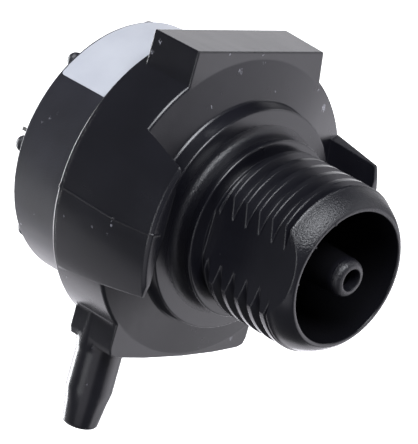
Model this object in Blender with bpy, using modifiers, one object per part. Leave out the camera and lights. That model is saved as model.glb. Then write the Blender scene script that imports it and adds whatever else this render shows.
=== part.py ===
"""Differential pressure sensor with a threaded nose port, a hose stub and blade terminals.

Each piece is drawn with the port's axis along local +Z and the top of the body along local +Y,
and height 0 at the front plane of the body's disc. lay_over() then turns the port to face -Y.
"""

import math

import bmesh
import bpy
from mathutils import Matrix, Vector

MM = 0.001

# Clearances
SEAT_GAP = 0.3 * MM
SLOT_CLEARANCE = 0.3 * MM
CUT_OVERRUN = 2.0 * MM

# Front moulding: disc, boss and neck
DISC_RADIUS = 12.12 * MM
DISC_THICKNESS = 5.3 * MM
DISC_EDGE = 0.2 * MM
DISC_DISH = 0.99 * MM
BOSS_RADIUS = 8.77 * MM
BOSS_HEIGHT = 2.28 * MM
BOSS_DRAFT = 0.11 * MM
BOSS_EDGE = 0.15 * MM
NECK_RADIUS = 6.86 * MM
NECK_FILLET = 0.5 * MM
COLLAR_RADIUS = 7.05 * MM
COLLAR_HEIGHT = 4.15 * MM
RELIEF_WIDTH = 0.35 * MM

# Threaded spigot
THREAD_RADIUS = 6.5785 * MM
THREAD_DEPTH = 0.68 * MM
THREAD_PITCH = 1.337 * MM
THREAD_CREST = 0.45 * MM
THREAD_FLANK = math.radians(27.5)
THREAD_ROOT_RISE = 0.05 * MM
THREAD_LEAD_IN = 0.154 * MM
THREAD_START_ANGLE = math.radians(-60.0)
FLAT_HALF_WIDTH = 5.65 * MM
SPIGOT_LENGTH = 13.22 * MM
NOSE_LENGTH = 1.45 * MM
NOSE_RADIUS = 6.4 * MM
LIP_RADIUS = 5.44 * MM
MOUTH_RADIUS = 5.15 * MM
BORE_DEPTH = 9.7 * MM
BORE_DRAFT = 0.3 * MM
BORE_FILLET = 0.6 * MM

# Nipple inside the bore
NIPPLE_RADIUS = 1.48 * MM
NIPPLE_REACH = 0.5 * MM
NIPPLE_DRAFT = 0.3 * MM
PASSAGE_RADIUS = 0.87 * MM

# Lugs above and below the disc, as seen from the front
TOP_LUG_HEIGHT = 12.4 * MM
TOP_LUG_LEFT = 7.25 * MM
TOP_LUG_RIGHT = 6.25 * MM
TOP_LUG_SPREAD = 0.65 * MM
TOP_LUG_FRONT = 0.12 * MM
BOTTOM_LUG_HEIGHT = 12.1 * MM
BOTTOM_LUG_LEFT = 7.95 * MM
BOTTOM_LUG_RIGHT = 6.75 * MM
BOTTOM_LUG_CROWN = 0.4 * MM
LUG_CORNER = 0.75 * MM
TOP_LUG_DEPTH = 4.6 * MM
BOTTOM_LUG_DEPTH = 4.4 * MM
LUG_ROOT = 6.0 * MM

# Grip blocks left and right of the boss
GRIP_HEIGHT_LEFT = 4.4 * MM
GRIP_HEIGHT_RIGHT = 4.8 * MM
GRIP_FRONT_RADIUS = 11.75 * MM
GRIP_PROUD = 0.01 * MM
GRIP_INNER = 10.45 * MM
GRIP_INNER_FLARE = 0.95 * MM
GRIP_CORNER = 10.6 * MM
GRIP_STEEP_END = 5.15 * MM
GRIP_STEEP_FLARE = 1.45 * MM
GRIP_STEEP_SLOPE = 0.6
GRIP_PLAIN_END = 4.9 * MM
GRIP_PLAIN_FLARE = 0.75 * MM
GRIP_PLAIN_SLOPE = 0.1
GRIP_FOOT = 3.8 * MM
GRIP_FOOT_TURN = 0.4
GRIP_FOOT_SLOPE = 0.27

# Hose stub under the bottom lug
STUB_RADIUS = 1.8 * MM
STUB_TIP_RADIUS = 1.4 * MM
STUB_LENGTH = 6.35 * MM
STUB_TAPER = 3.0 * MM
STUB_TIP_ROUND = 0.35 * MM
STUB_SIDE = 6.0 * MM
STUB_SETBACK = 2.65 * MM
STUB_BORE_RADIUS = 0.75 * MM

# Hollow behind the disc
CHAMBER_RADIUS = 4.5 * MM
CHAMBER_WALL = 2.1 * MM
CELL_FLOOR = 1.5 * MM
CAVITY_RADIUS = 9.2 * MM
LEDGE_DEPTH = 3.4 * MM

# Rear drum
DRUM_RADIUS = 10.3 * MM
DRUM_REAR = 11.83 * MM
DRUM_WALL = 1.9 * MM
COVER_LEDGE = 0.55 * MM
DRUM_SHOULDER = 1.4 * MM
DRUM_SHOULDER_DEPTH = 5.8 * MM
DRUM_SHOULDER_THICKNESS = 0.9 * MM
DRUM_EDGE = 0.2 * MM
STAKE_COUNT = 8
STAKE_ANGLE = math.radians(42.7)
STAKE_RADIUS = 0.5 * MM
STAKE_HEAD_RADIUS = 0.66 * MM
STAKE_HEIGHT = 1.0 * MM
STAKE_SETBACK = 0.8 * MM

# Label round the top of the drum
LABEL_START = math.radians(37.0)
LABEL_SPAN = math.radians(106.0)
LABEL_THICKNESS = 0.15 * MM
LABEL_PROUD = 0.1 * MM
LABEL_MARGIN = 0.1 * MM

# Sensing stack
FILTER_RADIUS = 1.9 * MM
FILTER_THICKNESS = 0.7 * MM
SEAL_SECTION = 0.45 * MM
SEAL_RING_RADIUS = 5.9 * MM
CELL_RADIUS = 7.6 * MM
CELL_THICKNESS = 1.4 * MM
CLAMP_BORE = 5.6 * MM
CLAMP_THICKNESS = 0.8 * MM
GASKET_THICKNESS = 0.4 * MM

# Circuit board and what stands on it
BOARD_THICKNESS = 0.8 * MM
CELL_PIN_RADIUS = 0.25 * MM
CELL_PIN_SPREAD = 2.2 * MM
CELL_PIN_PITCH = 1.27 * MM
AMPLIFIER_SIZE = (4.9 * MM, 3.9 * MM, 1.3 * MM)
REGULATOR_SIZE = (2.9 * MM, 1.6 * MM, 1.1 * MM)
CAPACITOR_SIZE = (1.25 * MM, 2.0 * MM, 0.9 * MM)
RESISTOR_SIZE = (1.6 * MM, 0.8 * MM, 0.45 * MM)
AMPLIFIER_PLACE = (-2.7 * MM, 4.1 * MM)
REGULATOR_PLACE = (-3.2 * MM, -4.1 * MM)
CAPACITOR_ROW = (-1.8 * MM, -6.2 * MM)
RESISTOR_ROW = (-6.5 * MM, 0.9 * MM)
RESISTOR_ROW_PITCH = 3.4 * MM
CAPACITOR_PITCH = 2.1 * MM

# Rear cover and blade terminals
COVER_THICKNESS = 0.8 * MM
BLADE_WIDTH = 2.8 * MM
BLADE_THICKNESS = 0.3 * MM
BLADE_REACH = 6.05 * MM
BLADE_TURN = math.radians(-21.6)
BLADE_TIP_WIDTH = 1.5 * MM
BLADE_TIP_LENGTH = 0.8 * MM
BLADE_TAIL_WIDTH = 1.2 * MM
BLADE_HOLE_RADIUS = 0.55 * MM
BLADE_HOLE_BACK = 2.3 * MM
BLADE_PLACES = ((-3.78 * MM, -0.85 * MM), (3.4 * MM, 3.1 * MM), (3.4 * MM, -3.9 * MM))

# Facets round a full turn
BODY_STEPS = 64
THREAD_STEPS = 32
SMALL_STEPS = 24
PIN_STEPS = 12

# Heights along the port's axis, from the disc's front plane
RELIEF_TOP = COLLAR_HEIGHT + RELIEF_WIDTH
ROOT_RADIUS = THREAD_RADIUS - THREAD_DEPTH
NOSE_START = SPIGOT_LENGTH - NOSE_LENGTH
BORE_FLOOR = SPIGOT_LENGTH - BORE_DEPTH
NIPPLE_TIP = SPIGOT_LENGTH + NIPPLE_REACH
CHAMBER_TOP = BORE_FLOOR - CHAMBER_WALL
SOCKET_RADIUS = DRUM_RADIUS + SEAT_GAP
GASKET_TOP = -LEDGE_DEPTH - SEAT_GAP
DRUM_FRONT = GASKET_TOP - GASKET_THICKNESS - SEAT_GAP
DRUM_BORE = DRUM_RADIUS - DRUM_WALL
SHOULDER_BORE = DRUM_BORE - DRUM_SHOULDER
SHOULDER_REAR = -DRUM_SHOULDER_DEPTH - DRUM_SHOULDER_THICKNESS
SEAL_HEIGHT = -CELL_FLOOR - SEAT_GAP - SEAL_SECTION
CELL_FRONT = SEAL_HEIGHT - SEAL_SECTION - SEAT_GAP
CELL_REAR = CELL_FRONT - CELL_THICKNESS
CLAMP_FRONT = CELL_REAR - SEAT_GAP
CLAMP_REAR = CLAMP_FRONT - CLAMP_THICKNESS
BOARD_FRONT = SHOULDER_REAR - SEAT_GAP
BOARD_REAR = BOARD_FRONT - BOARD_THICKNESS
BOARD_RADIUS = DRUM_BORE - SEAT_GAP
PART_FRONT = BOARD_REAR - SEAT_GAP
COVER_REAR = -DRUM_REAR + SEAT_GAP
COVER_FRONT = COVER_REAR + COVER_THICKNESS
COVER_SEAT = DRUM_BORE + COVER_LEDGE
COVER_RADIUS = COVER_SEAT - SEAT_GAP
BLADE_END = -DRUM_REAR - BLADE_REACH
BLADE_TAIL_END = BOARD_FRONT + SEAT_GAP
LABEL_OUTER = DRUM_RADIUS + LABEL_PROUD
LABEL_INNER = LABEL_OUTER - LABEL_THICKNESS
LABEL_POCKET = LABEL_INNER - SEAT_GAP
LABEL_FRONT = -DISC_THICKNESS - LABEL_MARGIN
LABEL_REAR = -DRUM_REAR + LABEL_MARGIN + DRUM_EDGE


def clear_scene():
    for obj in list(bpy.data.objects):
        bpy.data.objects.remove(obj, do_unlink=True)


def new_collection(name):
    made = bpy.data.collections.new(name)
    bpy.context.scene.collection.children.link(made)
    return made


clear_scene()
PARTS = new_collection("pressure_sensor")
CUTTERS = new_collection("cutters")


def material(name, colour, roughness, metallic=0.0):
    made = bpy.data.materials.new(name)
    made.use_nodes = True
    shader = made.node_tree.nodes["Principled BSDF"]
    shader.inputs["Base Color"].default_value = (*colour, 1.0)
    shader.inputs["Roughness"].default_value = roughness
    shader.inputs["Metallic"].default_value = metallic
    made.diffuse_color = (*colour, 1.0)
    return made


def object_from(form, name, group):
    """Makes an object of a bmesh, with its faces turned outwards."""
    if form.faces:
        bmesh.ops.recalc_face_normals(form, faces=form.faces)
    mesh = bpy.data.meshes.new(name)
    form.to_mesh(mesh)
    form.free()
    made = bpy.data.objects.new(name, mesh)
    group.objects.link(made)
    if group is CUTTERS:
        made.hide_render = True
        made.display_type = "WIRE"
    return made


def turned(name, outline, group, steps=BODY_STEPS, closed=False):
    """Turns an outline of (radius, height) points round the local Z axis."""
    form = bmesh.new()
    points = [form.verts.new((radius, 0.0, height)) for radius, height in outline]
    for first, second in zip(points, points[1:]):
        form.edges.new((first, second))
    if closed:
        form.edges.new((points[-1], points[0]))
    made = object_from(form, name, group)
    turn = made.modifiers.new("turn", "SCREW")
    turn.axis = "Z"
    turn.angle = 2.0 * math.pi
    turn.steps = steps
    turn.render_steps = steps
    turn.use_merge_vertices = True
    turn.merge_threshold = 0.000001
    return made


def prism(name, outline, low, high, group):
    """Extrudes a front-view outline of (x, y) points between two heights."""
    form = bmesh.new()
    face = form.faces.new([form.verts.new((x, y, low)) for x, y in outline])
    grown = bmesh.ops.extrude_face_region(form, geom=[face])
    raised = [item for item in grown["geom"] if isinstance(item, bmesh.types.BMVert)]
    bmesh.ops.translate(form, verts=raised, vec=(0.0, 0.0, high - low))
    return object_from(form, name, group)


def box(name, size, centre, group):
    form = bmesh.new()
    bmesh.ops.create_cube(form, size=1.0)
    bmesh.ops.scale(form, verts=form.verts, vec=size)
    bmesh.ops.translate(form, verts=form.verts, vec=centre)
    return object_from(form, name, group)


def rod(name, radius, low, high, place, group, steps=SMALL_STEPS):
    form = bmesh.new()
    bmesh.ops.create_cone(
        form, cap_ends=True, segments=steps, radius1=radius, radius2=radius, depth=high - low
    )
    bmesh.ops.translate(form, verts=form.verts, vec=(*place, (low + high) / 2.0))
    return object_from(form, name, group)


def join_or_cut(target, other, operation):
    step = target.modifiers.new(other.name, "BOOLEAN")
    step.operation = operation
    step.solver = "EXACT"
    step.object = other


def finish(obj, surface, angle=35.0):
    obj.data.materials.append(surface)
    if obj.data.polygons:
        obj.data.shade_smooth()
        obj.data.set_sharp_from_angle(angle=math.radians(angle))


def arc(centre, radius, start, end, count):
    """Points of a circle's arc, with the angles in degrees from +radius towards +height."""
    turns = [math.radians(start + (end - start) * step / count) for step in range(count + 1)]
    return [(centre[0] + radius * math.cos(turn), centre[1] + radius * math.sin(turn)) for turn in turns]


def nipple_outline():
    """From the port's axis over the rounded tip and down to the floor of the bore."""
    tip_round = NIPPLE_RADIUS - PASSAGE_RADIUS * 0.5
    tip_centre = (NIPPLE_RADIUS - tip_round, NIPPLE_TIP - tip_round)
    root = NIPPLE_RADIUS + NIPPLE_DRAFT
    return [
        (0.0, NIPPLE_TIP),
        *arc(tip_centre, tip_round, 90.0, 0.0, 5),
        (root, BORE_FLOOR + BORE_FILLET),
        (root + BORE_FILLET, BORE_FLOOR),
    ]


def spigot_outline():
    """Out of the bore, over the lip and the nose, and down the thread's crest to the neck."""
    floor_radius = MOUTH_RADIUS - BORE_DRAFT
    lip_round = (LIP_RADIUS - MOUTH_RADIUS) / 3.0
    return [
        (floor_radius - BORE_FILLET, BORE_FLOOR),
        (floor_radius, BORE_FLOOR + BORE_FILLET),
        (MOUTH_RADIUS, SPIGOT_LENGTH - lip_round),
        (MOUTH_RADIUS + lip_round, SPIGOT_LENGTH),
        (LIP_RADIUS - lip_round, SPIGOT_LENGTH),
        (LIP_RADIUS, SPIGOT_LENGTH - lip_round),
        ((LIP_RADIUS + NOSE_RADIUS) / 2.0 + lip_round, SPIGOT_LENGTH - NOSE_LENGTH / 2.0),
        (NOSE_RADIUS, NOSE_START),
        (THREAD_RADIUS, NOSE_START - THREAD_DEPTH / 2.0),
        (THREAD_RADIUS, RELIEF_TOP + THREAD_DEPTH / 2.0),
        (ROOT_RADIUS, RELIEF_TOP),
        (ROOT_RADIUS, COLLAR_HEIGHT),
    ]


def body_outline():
    """Collar, neck, boss and dished disc, down to the axis at the disc's rear plane."""
    boss_root = BOSS_RADIUS + BOSS_DRAFT
    fillet_centre = (NECK_RADIUS + NECK_FILLET, BOSS_HEIGHT + NECK_FILLET)
    return [
        (COLLAR_RADIUS, COLLAR_HEIGHT),
        (NECK_RADIUS, BOSS_HEIGHT + 2.0 * NECK_FILLET),
        *arc(fillet_centre, NECK_FILLET, 180.0, 270.0, 3),
        (BOSS_RADIUS - BOSS_EDGE, BOSS_HEIGHT),
        (BOSS_RADIUS, BOSS_HEIGHT - BOSS_EDGE),
        (boss_root, DISC_DISH),
        (DISC_RADIUS - DISC_EDGE, DISC_EDGE / 2.0),
        (DISC_RADIUS, -DISC_EDGE),
        (DISC_RADIUS, DISC_EDGE - DISC_THICKNESS),
        (DISC_RADIUS - DISC_EDGE, -DISC_THICKNESS),
        (0.0, -DISC_THICKNESS),
    ]


def top_lug():
    """The upper lug, whose right side slopes and spreads towards the rear."""
    form = bmesh.new()
    bmesh.ops.create_cube(form, size=1.0)
    for corner in form.verts:
        at_top = corner.co.y > 0.0
        at_front = corner.co.z > 0.0
        if corner.co.x < 0.0:
            corner.co.x = -TOP_LUG_LEFT
        else:
            corner.co.x = TOP_LUG_RIGHT
            corner.co.x += 0.0 if at_front else TOP_LUG_SPREAD
            corner.co.x += 0.0 if at_top else 2.0 * TOP_LUG_SPREAD
        corner.co.y = TOP_LUG_HEIGHT if at_top else LUG_ROOT
        corner.co.z = TOP_LUG_FRONT if at_front else -TOP_LUG_DEPTH
    return object_from(form, "top_lug", CUTTERS)


def bottom_lug():
    """The lower lug, with a crowned underside and rounded corners."""
    left = -BOTTOM_LUG_LEFT
    right = BOTTOM_LUG_RIGHT
    corner = -BOTTOM_LUG_HEIGHT + BOTTOM_LUG_CROWN
    outline = [
        (left, -LUG_ROOT),
        *arc((left + LUG_CORNER, corner + LUG_CORNER), LUG_CORNER, 180.0, 265.0, 4),
        (left / 2.0, -BOTTOM_LUG_HEIGHT + BOTTOM_LUG_CROWN / 4.0),
        (0.0, -BOTTOM_LUG_HEIGHT),
        (right / 2.0, -BOTTOM_LUG_HEIGHT + BOTTOM_LUG_CROWN / 4.0),
        *arc((right - LUG_CORNER, corner + LUG_CORNER), LUG_CORNER, 275.0, 360.0, 4),
        (right, -LUG_ROOT),
    ]
    return prism("bottom_lug", outline, -BOTTOM_LUG_DEPTH, 0.0, CUTTERS)


def grip_ring(name, height):
    """The ring that a grip block is cut from: drafted in front, and level with the rim."""
    foot = DISC_EDGE * 2.0 - DISC_THICKNESS
    outline = [
        (0.0, height),
        (GRIP_FRONT_RADIUS, height),
        (DISC_RADIUS + GRIP_PROUD, -DISC_EDGE),
        (DISC_RADIUS + GRIP_PROUD, foot),
        (0.0, foot),
    ]
    return turned(name, outline, CUTTERS)


def grip_block(name, height, turned_over):
    """A grip block: a wedge kept where it meets the drafted ring.

    It is drawn on the left, with its steep end up and its plain, chamfered end down. The block
    on the right is the same one turned over about the port's axis.
    """
    form = bmesh.new()
    bmesh.ops.create_cube(form, size=1.0)
    foot = -DISC_THICKNESS
    for corner in form.verts:
        at_front = corner.co.z > 0.0
        reach = -CUT_OVERRUN / height if at_front else (height - foot) / height
        out = DISC_RADIUS + CUT_OVERRUN
        if corner.co.x > 0.0:
            out = GRIP_INNER - GRIP_INNER_FLARE * reach
        beyond = out - GRIP_CORNER
        if corner.co.y > 0.0:
            corner.co.y = GRIP_STEEP_END + GRIP_STEEP_FLARE * reach + GRIP_STEEP_SLOPE * beyond
        else:
            corner.co.y = -GRIP_PLAIN_END - GRIP_PLAIN_FLARE * reach - GRIP_PLAIN_SLOPE * beyond
        corner.co.x = -out
        corner.co.z = height + CUT_OVERRUN if at_front else foot
    cut = bmesh.ops.bisect_plane(
        form,
        geom=[*form.verts, *form.edges, *form.faces],
        plane_co=(-GRIP_CORNER, -GRIP_FOOT, height),
        plane_no=Vector((GRIP_FOOT_TURN, -1.0, 1.0 / GRIP_FOOT_SLOPE)).normalized(),
        clear_outer=True,
    )
    rim = [item for item in cut["geom_cut"] if isinstance(item, bmesh.types.BMEdge)]
    bmesh.ops.holes_fill(form, edges=rim, sides=0)
    if turned_over:
        bmesh.ops.rotate(form, verts=form.verts, matrix=Matrix.Rotation(math.pi, 3, "Z"))
    block = object_from(form, name, CUTTERS)
    join_or_cut(block, grip_ring(name + "_ring", height), "INTERSECT")
    return block


def stub_outline():
    """The hose stub's side, from its rounded tip to the root inside the lug."""
    tip = -BOTTOM_LUG_HEIGHT - STUB_LENGTH
    return [
        (0.0, tip),
        (STUB_TIP_RADIUS - STUB_TIP_ROUND, tip),
        (STUB_TIP_RADIUS, tip + STUB_TIP_ROUND),
        (STUB_RADIUS, tip + STUB_TAPER),
        (STUB_RADIUS, -LUG_ROOT - STUB_RADIUS),
        (0.0, -LUG_ROOT - STUB_RADIUS),
    ]


def stand_under_lug(obj):
    """Turns a piece drawn along Z onto the hose stub's axis, which runs along local Y."""
    place = Matrix.Translation((-STUB_SIDE, 0.0, -STUB_SETBACK))
    obj.matrix_world = place @ Matrix.Rotation(math.radians(-90.0), 4, "X")


def hollow_outline():
    """The passage, the pressure chamber, the cell's seat and the drum's socket."""
    rear = -DISC_THICKNESS - CUT_OVERRUN
    return [
        (0.0, NIPPLE_TIP + CUT_OVERRUN),
        (PASSAGE_RADIUS, NIPPLE_TIP + CUT_OVERRUN),
        (PASSAGE_RADIUS, CHAMBER_TOP),
        (CHAMBER_RADIUS, CHAMBER_TOP),
        (CHAMBER_RADIUS, -CELL_FLOOR),
        (CAVITY_RADIUS, -CELL_FLOOR),
        (CAVITY_RADIUS, -LEDGE_DEPTH),
        (SOCKET_RADIUS, -LEDGE_DEPTH),
        (SOCKET_RADIUS, rear),
        (0.0, rear),
    ]


def thread_groove():
    """The cutter of the right-hand thread: a groove section that travels forward as it turns."""
    root = ROOT_RADIUS + THREAD_ROOT_RISE
    outer = THREAD_RADIUS + SEAT_GAP
    crest_half = (THREAD_PITCH - THREAD_CREST) / 2.0
    root_half = crest_half - (THREAD_RADIUS - root) * math.tan(THREAD_FLANK)
    outer_half = crest_half + (outer - THREAD_RADIUS) * math.tan(THREAD_FLANK)
    start = COLLAR_HEIGHT - THREAD_LEAD_IN
    turns = (SPIGOT_LENGTH - NOSE_LENGTH / 4.0 - start) / THREAD_PITCH
    steps = round(turns * THREAD_STEPS)
    form = bmesh.new()
    section = ((root, -root_half), (outer, -outer_half), (outer, outer_half), (root, root_half))
    face = form.faces.new([form.verts.new((radius, 0.0, start + along)) for radius, along in section])
    bmesh.ops.spin(
        form,
        geom=[*form.verts, *form.edges, face],
        cent=(0.0, 0.0, 0.0),
        axis=(0.0, 0.0, 1.0),
        dvec=(0.0, 0.0, turns * THREAD_PITCH / steps),
        angle=turns * 2.0 * math.pi,
        steps=steps,
        use_duplicate=False,
    )
    bmesh.ops.rotate(form, verts=form.verts, matrix=Matrix.Rotation(THREAD_START_ANGLE, 3, "Z"))
    cut = bmesh.ops.bisect_plane(
        form,
        geom=[*form.verts, *form.edges, *form.faces],
        plane_co=(0.0, 0.0, COLLAR_HEIGHT + RELIEF_WIDTH / 2.0),
        plane_no=(0.0, 0.0, 1.0),
        clear_inner=True,
    )
    rim = [item for item in cut["geom_cut"] if isinstance(item, bmesh.types.BMEdge)]
    bmesh.ops.holes_fill(form, edges=rim, sides=0)
    return object_from(form, "thread_groove", CUTTERS)


def side_flats():
    """Two boxes that cut the spigot's flats, from the relief to past the mouth."""
    low = COLLAR_HEIGHT + RELIEF_WIDTH / 3.0
    high = SPIGOT_LENGTH + CUT_OVERRUN
    depth = THREAD_RADIUS - FLAT_HALF_WIDTH + CUT_OVERRUN
    made = []
    for side, name in ((-1.0, "flat_left"), (1.0, "flat_right")):
        size = (depth, 2.0 * THREAD_RADIUS, high - low)
        centre = (side * (FLAT_HALF_WIDTH + depth / 2.0), 0.0, (low + high) / 2.0)
        made.append(box(name, size, centre, CUTTERS))
    return made


def front_housing():
    outline = nipple_outline() + spigot_outline() + body_outline()
    housing = turned("front_housing", outline, PARTS)
    stub = turned("hose_stub", stub_outline()[::-1], CUTTERS, SMALL_STEPS)
    stand_under_lug(stub)
    grips = (
        grip_block("grip_left", GRIP_HEIGHT_LEFT, False),
        grip_block("grip_right", GRIP_HEIGHT_RIGHT, True),
    )
    for added in (top_lug(), bottom_lug(), *grips, stub):
        join_or_cut(housing, added, "UNION")
    tip = -BOTTOM_LUG_HEIGHT - STUB_LENGTH - CUT_OVERRUN
    stub_bore = rod("stub_bore", STUB_BORE_RADIUS, tip, -LUG_ROOT, (0.0, 0.0), CUTTERS, PIN_STEPS)
    stand_under_lug(stub_bore)
    hollow = turned("hollow", hollow_outline(), CUTTERS)
    for removed in (thread_groove(), *side_flats(), hollow, stub_bore):
        join_or_cut(housing, removed, "DIFFERENCE")
    finish(housing, material("satin_black_moulding", (0.022, 0.023, 0.026), 0.42))


def drum_outline():
    """The drum's section: outer wall, the cover's ledge, and the shoulder for clamp and board."""
    rear = -DRUM_REAR
    return [
        (DRUM_BORE, DRUM_FRONT),
        (DRUM_RADIUS - DRUM_EDGE, DRUM_FRONT),
        (DRUM_RADIUS, DRUM_FRONT - DRUM_EDGE),
        (DRUM_RADIUS, rear + DRUM_EDGE),
        (DRUM_RADIUS - DRUM_EDGE, rear),
        (COVER_SEAT, rear),
        (COVER_SEAT, COVER_FRONT + SEAT_GAP),
        (DRUM_BORE, COVER_FRONT + SEAT_GAP),
        (DRUM_BORE, SHOULDER_REAR),
        (SHOULDER_BORE, SHOULDER_REAR),
        (SHOULDER_BORE, -DRUM_SHOULDER_DEPTH),
        (DRUM_BORE, -DRUM_SHOULDER_DEPTH),
    ]


def stake(index):
    """One of the stakes on the drum's rear rim, whose head is melted to a dome."""
    foot = 2.0 * DRUM_EDGE
    dome_centre = (0.0, STAKE_HEAD_RADIUS - STAKE_HEIGHT)
    outline = [
        (0.0, foot),
        (STAKE_RADIUS, foot),
        (STAKE_RADIUS, 0.0),
        *arc(dome_centre, STAKE_HEAD_RADIUS, 0.0, -90.0, 3)[:-1],
        (0.0, -STAKE_HEIGHT),
    ]
    made = turned(f"stake_{index + 1}", outline, CUTTERS, PIN_STEPS)
    angle = STAKE_ANGLE + 2.0 * math.pi * index / STAKE_COUNT
    reach = DRUM_RADIUS - STAKE_SETBACK
    made.location = (reach * math.cos(angle), reach * math.sin(angle), -DRUM_REAR)
    return made


def sector(name, inner, outer, low, high, start, span, group):
    """A curved plate: a rectangle carried round the local Z axis through part of a turn."""
    form = bmesh.new()
    corners = ((inner, low), (outer, low), (outer, high), (inner, high))
    face = form.faces.new([form.verts.new((radius, 0.0, height)) for radius, height in corners])
    steps = max(2, round(BODY_STEPS * span / (2.0 * math.pi)))
    bmesh.ops.spin(
        form,
        geom=[*form.verts, *form.edges, face],
        cent=(0.0, 0.0, 0.0),
        axis=(0.0, 0.0, 1.0),
        angle=span,
        steps=steps,
        use_duplicate=False,
    )
    bmesh.ops.rotate(form, verts=form.verts, matrix=Matrix.Rotation(start, 3, "Z"))
    return object_from(form, name, group)


def rear_drum():
    drum = turned("rear_drum", drum_outline(), PARTS, closed=True)
    for index in range(STAKE_COUNT):
        join_or_cut(drum, stake(index), "UNION")
    margin = SLOT_CLEARANCE / DRUM_RADIUS
    pocket = sector(
        "label_pocket",
        LABEL_POCKET,
        LABEL_OUTER + CUT_OVERRUN,
        LABEL_REAR - SLOT_CLEARANCE,
        LABEL_FRONT + SLOT_CLEARANCE,
        LABEL_START - margin,
        LABEL_SPAN + 2.0 * margin,
        CUTTERS,
    )
    join_or_cut(drum, pocket, "DIFFERENCE")
    finish(drum, material("black_drum_moulding", (0.024, 0.025, 0.028), 0.45))


def drum_label():
    label = sector(
        "label", LABEL_INNER, LABEL_OUTER, LABEL_REAR, LABEL_FRONT, LABEL_START, LABEL_SPAN, PARTS
    )
    finish(label, material("white_label_film", (0.82, 0.83, 0.86), 0.5))


def ring_outline(inner, outer, low, high):
    return [(inner, high), (outer, high), (outer, low), (inner, low)]


def seal_ring():
    """The round ring between the housing's floor and the cell."""
    outline = arc((SEAL_RING_RADIUS, SEAL_HEIGHT), SEAL_SECTION, 360.0, 0.0, 10)[:-1]
    ring = turned("cell_seal", outline, PARTS, BODY_STEPS // 2, closed=True)
    finish(ring, material("seal_rubber", (0.03, 0.03, 0.03), 0.7))


def sensing_stack():
    """Filter, seal, ceramic cell, clamp ring and body gasket, from the front to the rear."""
    filter_top = CHAMBER_TOP - SEAT_GAP
    port_filter = rod(
        "port_filter", FILTER_RADIUS, filter_top - FILTER_THICKNESS, filter_top, (0.0, 0.0), PARTS
    )
    finish(port_filter, material("sintered_filter", (0.45, 0.36, 0.2), 0.6, 0.8))
    seal_ring()
    cell = rod("pressure_cell", CELL_RADIUS, CELL_REAR, CELL_FRONT, (0.0, 0.0), PARTS, BODY_STEPS // 2)
    finish(cell, material("white_ceramic", (0.85, 0.84, 0.8), 0.35))
    clamp_outline = ring_outline(CLAMP_BORE, DRUM_BORE - SEAT_GAP, CLAMP_REAR, CLAMP_FRONT)
    clamp = turned("cell_clamp", clamp_outline, PARTS, BODY_STEPS // 2, closed=True)
    finish(clamp, material("natural_moulding", (0.75, 0.73, 0.66), 0.5))
    gasket_outline = ring_outline(
        CAVITY_RADIUS + SEAT_GAP, SOCKET_RADIUS - SEAT_GAP, GASKET_TOP - GASKET_THICKNESS, GASKET_TOP
    )
    gasket = turned("body_gasket", gasket_outline, PARTS, BODY_STEPS // 2, closed=True)
    finish(gasket, material("gasket_rubber", (0.05, 0.05, 0.055), 0.75))


def turn_to_place(piece, place):
    """Turns a piece drawn on the port's axis as the blades are turned, and moves it to its place."""
    piece.data.transform(Matrix.Rotation(BLADE_TURN, 4, "Z"))
    piece.data.transform(Matrix.Translation((*place, 0.0)))


def cut_slots(target, width, height, low, high, label):
    for index, place in enumerate(BLADE_PLACES):
        size = (width, height, high - low + CUT_OVERRUN)
        slot = box(f"{label}_{index + 1}", size, (0.0, 0.0, (low + high) / 2.0), CUTTERS)
        turn_to_place(slot, place)
        join_or_cut(target, slot, "DIFFERENCE")


def circuit_board():
    board = rod(
        "circuit_board", BOARD_RADIUS, BOARD_REAR, BOARD_FRONT, (0.0, 0.0), PARTS, BODY_STEPS // 2
    )
    width = BLADE_TAIL_WIDTH + 2.0 * SLOT_CLEARANCE
    height = BLADE_THICKNESS + 2.0 * SLOT_CLEARANCE
    cut_slots(board, width, height, BOARD_REAR, BOARD_FRONT, "board_slot")
    finish(board, material("green_laminate", (0.05, 0.22, 0.1), 0.45))


def on_board(name, size, place, surface):
    width, height, depth = size
    piece = box(name, size, (*place, PART_FRONT - depth / 2.0), PARTS)
    finish(piece, surface)


def board_parts():
    """The chips, capacitors and resistors on the rear side of the board."""
    epoxy = material("chip_epoxy", (0.03, 0.03, 0.035), 0.5)
    on_board("amplifier_chip", AMPLIFIER_SIZE, AMPLIFIER_PLACE, epoxy)
    on_board("regulator_chip", REGULATOR_SIZE, REGULATOR_PLACE, epoxy.copy())
    for index in range(3):
        place = (CAPACITOR_ROW[0] + index * CAPACITOR_PITCH, CAPACITOR_ROW[1])
        surface = material(f"capacitor_ceramic_{index + 1}", (0.55, 0.4, 0.25), 0.4)
        on_board(f"capacitor_{index + 1}", CAPACITOR_SIZE, place, surface)
    for index in range(4):
        row = index // 2
        place = (
            RESISTOR_ROW[0] + (index % 2) * (RESISTOR_SIZE[0] + 2.0 * SEAT_GAP),
            RESISTOR_ROW[1] - row * RESISTOR_ROW_PITCH,
        )
        surface = material(f"resistor_film_{index + 1}", (0.06, 0.06, 0.08), 0.35)
        on_board(f"resistor_{index + 1}", RESISTOR_SIZE, place, surface)


def cell_pins():
    """Four pins from the back of the cell to the front of the board."""
    low = BOARD_FRONT + SEAT_GAP
    high = CELL_REAR - SEAT_GAP
    for index in range(4):
        place = (
            CELL_PIN_SPREAD if index % 2 else -CELL_PIN_SPREAD,
            (index // 2) * CELL_PIN_PITCH + CELL_PIN_PITCH / 2.0,
        )
        pin = rod(f"cell_pin_{index + 1}", CELL_PIN_RADIUS, low, high, place, PARTS, PIN_STEPS)
        finish(pin, material(f"tinned_pin_{index + 1}", (0.7, 0.7, 0.72), 0.3, 1.0))


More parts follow.
